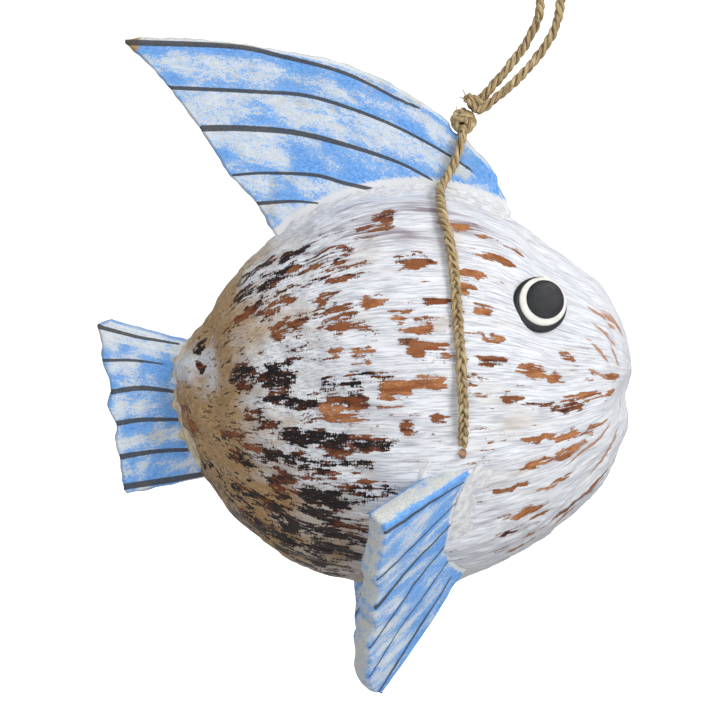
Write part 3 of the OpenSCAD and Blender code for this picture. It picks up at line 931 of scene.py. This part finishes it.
def add_fin(name, verts, faces, **values):
    """A fin's board. values are what its look needs at each point."""
    turn_outwards(add(name + "_board", verts, faces, "fish", FIN, "fin", [name], values))


def skin_top(x, y):
    """Height of the plain skin's upper half."""
    middle, tall, wide = section(x)
    return middle + tall * np.sqrt(np.clip(1 - (y / wide) ** 2, 0, 1))


# The fins' edges as in the CAD. Widths are each painted ray's thickness at its start, middle and end.
DORSAL_HALF = 2.4
KNOT_GAP = 7.6
DORSAL_FRONT = [(-19, -122), (-23.5, -112), (-29, -99.5), (-40.5, -87), (-51, -76.5),
                (-62.5, -68), (-82.5, -56.5), (-106, -47.5), (-137.5, -41.3), (-171, -37),
                (-196, -36.2), (-208.6, -37)]
DORSAL_REAR = [(-134.5, -134), (-139, -126.5), (-144, -117.5), (-150.5, -110), (-157.5, -103),
               (-165, -91), (-172.5, -79.5), (-180.5, -68.5), (-189, -57.5), (-199, -46.5),
               (-208.4, -38.4)]
DORSAL_BASE = [(-19, -122), (-24, -131), (-48, -123), (-73, -121), (-98, -125), (-118, -136),
               (-134.5, -134)]
DORSAL_RAYS = [
    [(-207, -38), (-156, -40), (-131, -45), (-101, -53), (-74, -66), (-60, -72)],
    [(-188, -60), (-146, -62), (-120, -64), (-96, -71), (-74, -80), (-50, -93), (-34, -104)],
    [(-171, -80), (-151, -80), (-126, -82), (-101, -88), (-74, -97), (-55, -107)],
    [(-156, -103), (-141, -102), (-116, -103), (-101, -107), (-83, -111)],
    [(-144, -117), (-126, -116), (-113, -117)]]
DORSAL_WIDTHS = [(3, 2.2, 1.2), (2, 1.8, 1), (3.2, 2.6, 1), (1.3, 1.8, 2), (2, 1.6, 0.8)]


def dorsal_blue(plane, lead):
    """How blue the back fin is: bluer toward the front, just under the first ray and over the rest."""
    x = plane[:, 0]
    under = [below(plane, ray) for ray in DORSAL_RAYS]
    out = 0.34 + 0.05 * step(-150, -60, x) + 0.18 * ripple(plane, 22, 50)
    out += 0.55 * step(9, 2, under[0]) * (under[0] > 0) * step(-50, -110, x)
    for gap in under[1:]:
        out += 0.34 * step(-9, -1, gap) * (gap < 0.5)
    solid = step(-2, 2, under[2]) * step(2, -2, under[3]) * step(-135, -118, x) * step(-50, -70, x)
    out += 0.35 * solid
    out += 0.3 * step(5, 2, lead) * step(-190, -120, x) - 0.5 * step(1.6, 0.8, lead)
    return out


def make_dorsal():
    front = spline(DORSAL_FRONT, 0.7)
    tip = np.array([DORSAL_FRONT[-1], DORSAL_REAR[-1]])
    grid = coons(front, spline(DORSAL_REAR, 0.7), spline(DORSAL_BASE, 0.7), tip, 330, 150)
    away = grid - KNOT[[0, 2]]
    r = np.linalg.norm(away, axis=2, keepdims=True)
    bitten = KNOT[[0, 2]] + away / r * (KNOT_GAP - (KNOT_GAP - r) * 0.02)
    grid = np.where(r < KNOT_GAP, bitten, grid)
    verts, faces, plane = board(grid, DORSAL_HALF, -DORSAL_HALF, 1.1, upright, 40)
    lead, along = to_lines(plane, [front])
    from_tip = np.hypot(plane[:, 0] + 208.5, plane[:, 1] + 37.5)
    add_fin("dorsal_fin", verts, faces,
            grain=np.column_stack([along * 210, lead, verts[:, 1] * 6]) * MM,
            ray=ray_mask(plane, DORSAL_RAYS, DORSAL_WIDTHS),
            root=step(11, 3, plane[:, 1] - skin_top(plane[:, 0], 0)),
            wood=step(12, 3, from_tip) * 0.9,
            edge=step(2.1, 1.9, np.abs(verts[:, 1])),
            blue=dorsal_blue(plane, lead))


TAIL_HALF = 4.9
TAIL_TOP = [(-162, -190), (-179.5, -186), (-198.5, -181), (-217.5, -175.5), (-224, -178)]
TAIL_OUTER = [(-224, -178), (-222, -186.5), (-222, -194.5), (-219, -203.5), (-217.5, -210.5),
              (-219.5, -218.5), (-215, -228), (-216, -236), (-213.5, -246), (-212, -260.5)]
TAIL_LOW = [(-160, -250), (-171, -254), (-190.5, -258.5), (-210.5, -262.5), (-212, -260.5)]
TAIL_INNER = [(-162, -190), (-156, -215), (-160, -250)]
TAIL_RAYS = [
    [(-224, -178), (-205, -183), (-194, -185), (-182, -187)],
    [(-222, -195), (-206, -195), (-190, -197)],
    [(-218, -211), (-204, -209), (-191, -210), (-181, -212)],
    [(-216, -227), (-202, -225), (-180, -225)],
    [(-215, -244), (-195, -241), (-175, -240)],
    [(-212, -259), (-192, -256), (-169, -252)]]
TAIL_WIDTHS = [(2.2, 1.6, 1), (1.6, 1.5, 0.6), (2.6, 2.6, 1.2), (2.8, 2.2, 1.6), (3, 2.2, 1.8),
               (3.2, 3.2, 2.4)]


def make_tail():
    grid = coons(TAIL_TOP, TAIL_LOW, spline(TAIL_INNER, 0.6), spline(TAIL_OUTER, 0.6), 110, 150)
    verts, faces, plane = board(grid, TAIL_HALF, -TAIL_HALF, 1.3, upright, 60)
    x, z = plane[:, 0], plane[:, 1]
    blue = 0.42 + 0.22 * ripple(plane, 16, 61) + 0.15 * step(-212, -188, x)
    for ray in TAIL_RAYS:
        blue += 0.22 * step(7, 1, np.abs(below(plane, ray)))
    under_top = -184 - (x + 224) * 0.2
    blue -= 0.45 * step(3.5, 4.8, np.abs(verts[:, 1])) * (z > under_top)
    away = np.hypot(x + 150, (z + 216) * 0.4)
    angle = np.arctan2(z + 214, -(x + 130))
    add_fin("tail_fin", verts, faces,
            grain=np.column_stack([away, angle * 70, verts[:, 1] * 5]) * MM,
            ray=ray_mask(plane, TAIL_RAYS, TAIL_WIDTHS),
            root=step(-186, -178, x) * 0.5,
            wood=np.zeros(len(x)),
            edge=step(4.6, 4.3, np.abs(verts[:, 1])),
            blue=blue)


# The right pectoral fin: the two ends of its root, its thickness and its own three ways
PECTORAL_TOP = np.array([-35.5, -75.5, -234])
PECTORAL_LOW = np.array([-46.5, -53, -282.5])
PECTORAL_T = 12.5
DOWN = unit(PECTORAL_LOW - PECTORAL_TOP)
FLARE = unit([-1, -1, 0])
OUT = unit(FLARE - (FLARE @ DOWN) * DOWN)
FACE = np.cross(OUT, DOWN)
# Its edges and painted rays in its own plane, outwards and down
P_TOP = [(-12, 2), (0, 0), (57, 19)]
P_OUTER = [(57, 19), (54, 36), (53.5, 51), (49, 62), (48.5, 76), (44.5, 86), (46, 97), (42, 110),
           (40.5, 119), (34, 130), (26, 135)]
P_LOW = [(-20, 58), (-11, 70.5), (-6, 76.5), (1.5, 94), (26, 135)]
P_INNER = [(-12, 2), (-20, 12), (-20, 58)]
P_RAYS = [
    [(55, 23), (30, 14), (8, 8)],
    [(52, 52), (30, 34), (8, 18)],
    [(48, 71), (28, 48), (7, 29)],
    [(45, 97), (26, 66), (5, 41)],
    [(40, 117), (22, 84), (2, 54)],
    [(30, 132), (14, 100), (-2, 68)]]
P_WIDTHS = [(2.2, 1.8, 0.9), (1.3, 1.2, 0.8), (2.4, 1.8, 1), (1.2, 1.4, 1.2), (1, 1.1, 1),
            (1.8, 1.8, 1)]


def on_pectoral(q, h):
    """Points of the right pectoral fin: outwards, down along its root, and out of its front face."""
    return PECTORAL_TOP + q[:, :1] * OUT + q[:, 1:2] * DOWN + h[:, None] * FACE


def make_pectoral(side):
    grid = coons(P_TOP, P_LOW, P_INNER, spline(P_OUTER, 0.6), 120, 200)
    verts, faces, plane = board(grid, -0.1, 0.2 - PECTORAL_T, 1.6, on_pectoral, 70)
    depth = (verts - PECTORAL_TOP) @ FACE
    lean = plane @ (0.8, 0.6)
    cross = plane @ (-0.6, 0.8)
    rim = step(-0.9, -2.2, depth) * step(-11.8, -10.4, depth)
    blue = 0.46 + 0.2 * ripple(np.column_stack([lean * 0.2, cross]), 9, 71)
    blue += 0.1 * ripple(plane, 22, 72) + 0.2 * step(50, 12, plane[:, 0]) * step(95, 60, plane[:, 1])
    for ray in P_RAYS:
        blue += 0.25 * step(4, 0.5, to_lines(plane, [ray])[0])
    blue += 0.6 * step(4.5, 1, to_lines(plane, [P_TOP[1:]])[0])
    blue += 0.5 * step(6, 2, to_lines(plane, [P_LOW])[0])
    # how blue the thick rim is, in patches
    smudge_and_shade = 0.22 + 0.34 * step(0.2, 0.9, ripple(plane, 30, 73)) + 0.14 * ripple(verts, 9, 74)
    add_fin("pectoral_fin_" + side, on_side(side, verts), faces,
            grain=np.column_stack([lean, cross, depth]) * MM,
            ray=ray_mask(plane, P_RAYS, P_WIDTHS) * (1 - rim),
            root=step(3, 0.3, off_skin(verts)) * (1 - rim),
            wood=np.zeros(len(verts)),
            edge=rim,
            blue=blue * (1 - rim) + smudge_and_shade * rim)


make_dorsal()
make_tail()
for side in SIDES:
    make_pectoral(side)

# ---------------------------------------- putty round the fins


def add_putty(name, node, lumps, material):
    """Lumps of putty, each a row of closed rings of points."""
    verts, faces, base = [], [], 0
    for rows in lumps:
        count, around_it = rows.shape[:2]
        faces += ring_faces(count, around_it, base)
        verts.append(rows.reshape(-1, 3))
        base += count * around_it
    turn_outwards(add(name, np.vstack(verts), faces, "fish", material, "putty", [node]))


def make_dorsal_putty():
    rows = []
    for x in np.arange(-133, -19, 0.8):
        end = 0.25 + 0.75 * step(-134, -126, x) * step(-18, -26, x)
        rise = (3.6 + 0.8 * math.sin(x * 0.31) * math.sin(x * 0.11)) * end
        wide = (9 + 2.2 * math.sin(x * 0.23 + 1)) * end
        t = np.linspace(0, 1, 9)
        y = np.concatenate([2.3 + wide * t, [2.3 + wide, 2.3]])
        z = skin_top(x, y)
        z += np.concatenate([0.25 + rise * (1 - t) ** 2.2 - 1.6 * t**3, [-2, -3]])
        half = np.column_stack([np.full(len(y), x), y, z])
        rows.append(np.vstack([half[::-1] * (1, -1, 1), half]))
    rows = np.array(rows)
    rows[..., 2] += 0.2 * ripple(rows, 14, 81)
    add_putty("dorsal_putty_fillet", "dorsal_putty", [rows], PUTTY)


def skin_along(start, way, reach):
    """Where lines from points along a way first meet the plain skin, and whether all of them do."""
    t = np.linspace(0, reach, 500)
    p = start[:, None] + np.asarray(way, float) * t[:, None]
    x = p[..., 0]
    inside = (np.hypot(*around(p)) <= 1) & (x >= STEM_X) & (x <= NOSE_X)
    return p[np.arange(len(p)), np.argmax(inside, axis=1)], inside.any(axis=1).all()


def make_tail_putty():
    lumps = []
    for side in (-1, 1):
        rows = []
        for z in np.arange(-251, -185, 0.8):
            end = step(-251.5, -243, z) * step(-185, -193, z)
            rise = (3.4 + 1.2 * math.sin(z * 0.37) + 0.8 * math.sin(z * 0.83)) * (0.2 + 0.8 * end)
            wide = (4.5 + 1.4 * math.sin(z * 0.29 + 1)) * (0.3 + 0.7 * end)
            t = np.linspace(0, 1, 9)
            y = side * (4.7 + wide * t)
            start = np.column_stack([np.full(9, -200), y, np.full(9, z)])
            on, met = skin_along(start, (1, 0, 0), 60)
            if not met:
                continue
            on[:, 0] -= 0.2 + rise * (1 - t) ** 2 - 1.6 * t**3
            rows.append(np.vstack([on, on[[-1, 0]] + (4, 0, 0)]))
        rows = np.array(rows)
        rows += 0.25 * ripple(rows, 6, 82)[..., None] * (-1, 0, 0)
        lumps.append(rows)
    add_putty("tail_putty_lumps", "tail_putty", lumps, ROOT_PUTTY)


def make_pectoral_putty(side):
    lumps = []
    for face, sign in ((0.0, 1), (-PECTORAL_T, -1)):
        rows = []
        for drop in np.arange(-3, 76, 0.8):
            end = step(-4, 6, drop) * step(77, 62, drop)
            rise = (1.6 + 0.4 * math.sin(drop * 0.21)) * (0.15 + 0.85 * end)
            wide = (4.2 + 0.8 * math.sin(drop * 0.13 + 2)) * (0.25 + 0.75 * end)
            t = np.linspace(0, 1, 10)
            h = face + sign * (wide * t - 0.3)
            start = on_pectoral(np.column_stack([np.full(10, 40), np.full(10, drop)]), h)
            on, met = skin_along(start, -OUT, 75)
            if not met:
                continue
            on += OUT * (0.25 + rise * (1 - t) ** 2.2 - 3 * t**3)[:, None]
            rows.append(np.vstack([on, on[[-1, 0]] - OUT * (3 + rise * np.array([0, 1]))[:, None]]))
        rows = np.array(rows)
        rows += 0.25 * ripple(rows, 8, 83)[..., None] * OUT
        lumps.append(on_side(side, rows))
    add_putty("pectoral_putty_" + side + "_mound", "pectoral_putty_" + side, lumps, PUTTY)


make_dorsal_putty()
make_tail_putty()
for side in SIDES:
    make_pectoral_putty(side)

# ---------------------------------------- eyes


EYE_SIDES = 96
# Each turned piece: its profile as radius and height, its slot, and its shift across and up
EYE_PIECES = {
    "eye_ring": ([(12.6, -6), (13.3, -1), (13.6, 1.2), (13.4, 2.0), (12.8, 2.5), (11.9, 2.7),
                  (10.8, 2.7)], "eye_black", (-0.9, -0.8)),
    "eye_plug": ([(11.2, -6), (11.8, 1.6), (11.8, 2.9), (11.5, 3.4), (10.9, 3.7), (9.2, 3.8)],
                 "eye_white", (0.35, 0.35)),
    "eye_pupil": ([(9.2, 2.6), (9.4, 4.0), (9.25, 4.4), (8.7, 4.7), (6, 5.0), (3, 5.2),
                   (0.6, 5.2)], "eye_black", (1.2, 1.1))}


def make_eye(side):
    """Ring, plug and pupil, turned about the way that the eye looks."""
    across = unit(np.cross((0, 0, 1), EYE_AXIS))
    above = np.cross(EYE_AXIS, across)
    a = np.arange(EYE_SIDES)[:, None] * 2 * math.pi / EYE_SIDES
    circle = np.cos(a) * across + np.sin(a) * above
    for name, (profile, slot, shift) in EYE_PIECES.items():
        centre = EYE_SEAT + across * shift[0] + above * shift[1]
        rings = np.vstack([centre + EYE_AXIS * height + circle * r for r, height in profile])
        rings += EYE_AXIS * (0.08 * ripple(rings, 5, len(name)))[:, None]
        turn_outwards(add(name + "_turned_" + side, on_side(side, rings),
                          ring_faces(len(profile), EYE_SIDES), "fish", EYE_LOOKS[slot], slot,
                          [name + "_" + side]))


for side in SIDES:
    make_eye(side)

# ---------------------------------------- CAD pieces that keep their shape


def dress(node, material):
    """Gives a CAD piece a material."""
    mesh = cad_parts[node].data
    mesh.materials.clear()
    mesh.materials.append(material)


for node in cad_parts:
    if "pegs" in node:
        dress(node, PEG)
    if "wedge" in node:
        dress(node, WEDGE)
dress("nut_shell", SHELL)
dress("dried_kernel", KERNEL)

# ---------------------------------------- floor, backdrop and light

STAGE_Z = -0.52
STAGE_R = 3.4
STAGE_HEIGHT = 4.0
BEND = 0.8
STAGE_SIDES = 96
profile = [(0.02, STAGE_Z), (1.2, STAGE_Z)]
for t in np.linspace(0, math.pi / 2, 16):
    profile.append((STAGE_R - BEND + BEND * math.sin(t), STAGE_Z + BEND * (1 - math.cos(t))))
profile.append((STAGE_R, STAGE_HEIGHT))
turn = np.arange(STAGE_SIDES) * 2 * math.pi / STAGE_SIDES
verts = [(r * math.cos(a), r * math.sin(a), z) for r, z in profile for a in turn]
faces = grid_faces(len(profile), STAGE_SIDES, closed=True) + [tuple(range(STAGE_SIDES))]
mesh = bpy.data.meshes.new("backdrop")
mesh.from_pydata(verts, [], faces)
mesh.polygons.foreach_set("use_smooth", [True] * len(mesh.polygons))
k = Look("backdrop_paper")
paper = k.noise(k.place(), 6, 2, 0.5)
k.finish(k.mix(paper, (0.93, 0.93, 0.93, 1), (0.96, 0.96, 0.96, 1)), 0.95)
k.shader.inputs["Emission Color"].default_value = (1, 1, 1, 1)
k.shader.inputs["Emission Strength"].default_value = 0.75
mesh.materials.append(k.material)
backdrop = bpy.data.objects.new("backdrop", mesh)
bpy.context.scene.collection.objects.link(backdrop)
backdrop.visible_diffuse = False
turn_outwards(backdrop)


def light(name, location, size, power, colour=(1, 1, 1)):
    data = bpy.data.lights.new(name, "AREA")
    data.shape = "DISK"
    data.size = size
    data.energy = power
    data.color = colour
    obj = bpy.data.objects.new(name, data)
    bpy.context.scene.collection.objects.link(obj)
    obj.location = location
    obj.rotation_euler = (TARGET - obj.location).to_track_quat("-Z", "Y").to_euler()


light("key", (1.4, -1.3, 1.35), 0.9, 31)
light("fill", (-0.5, -2.2, -0.1), 1.5, 13)
light("low", (1.3, -1.7, -0.75), 1.2, 22)
light("top", (-0.1, 0.3, 1.6), 1.4, 9)
world = bpy.data.worlds.new("studio")
world.use_nodes = True
world.node_tree.nodes["Background"].inputs["Color"].default_value = (1, 1, 1, 1)
world.node_tree.nodes["Background"].inputs["Strength"].default_value = 0.38
bpy.context.scene.world = world
bpy.context.scene.view_settings.view_transform = "Standard"
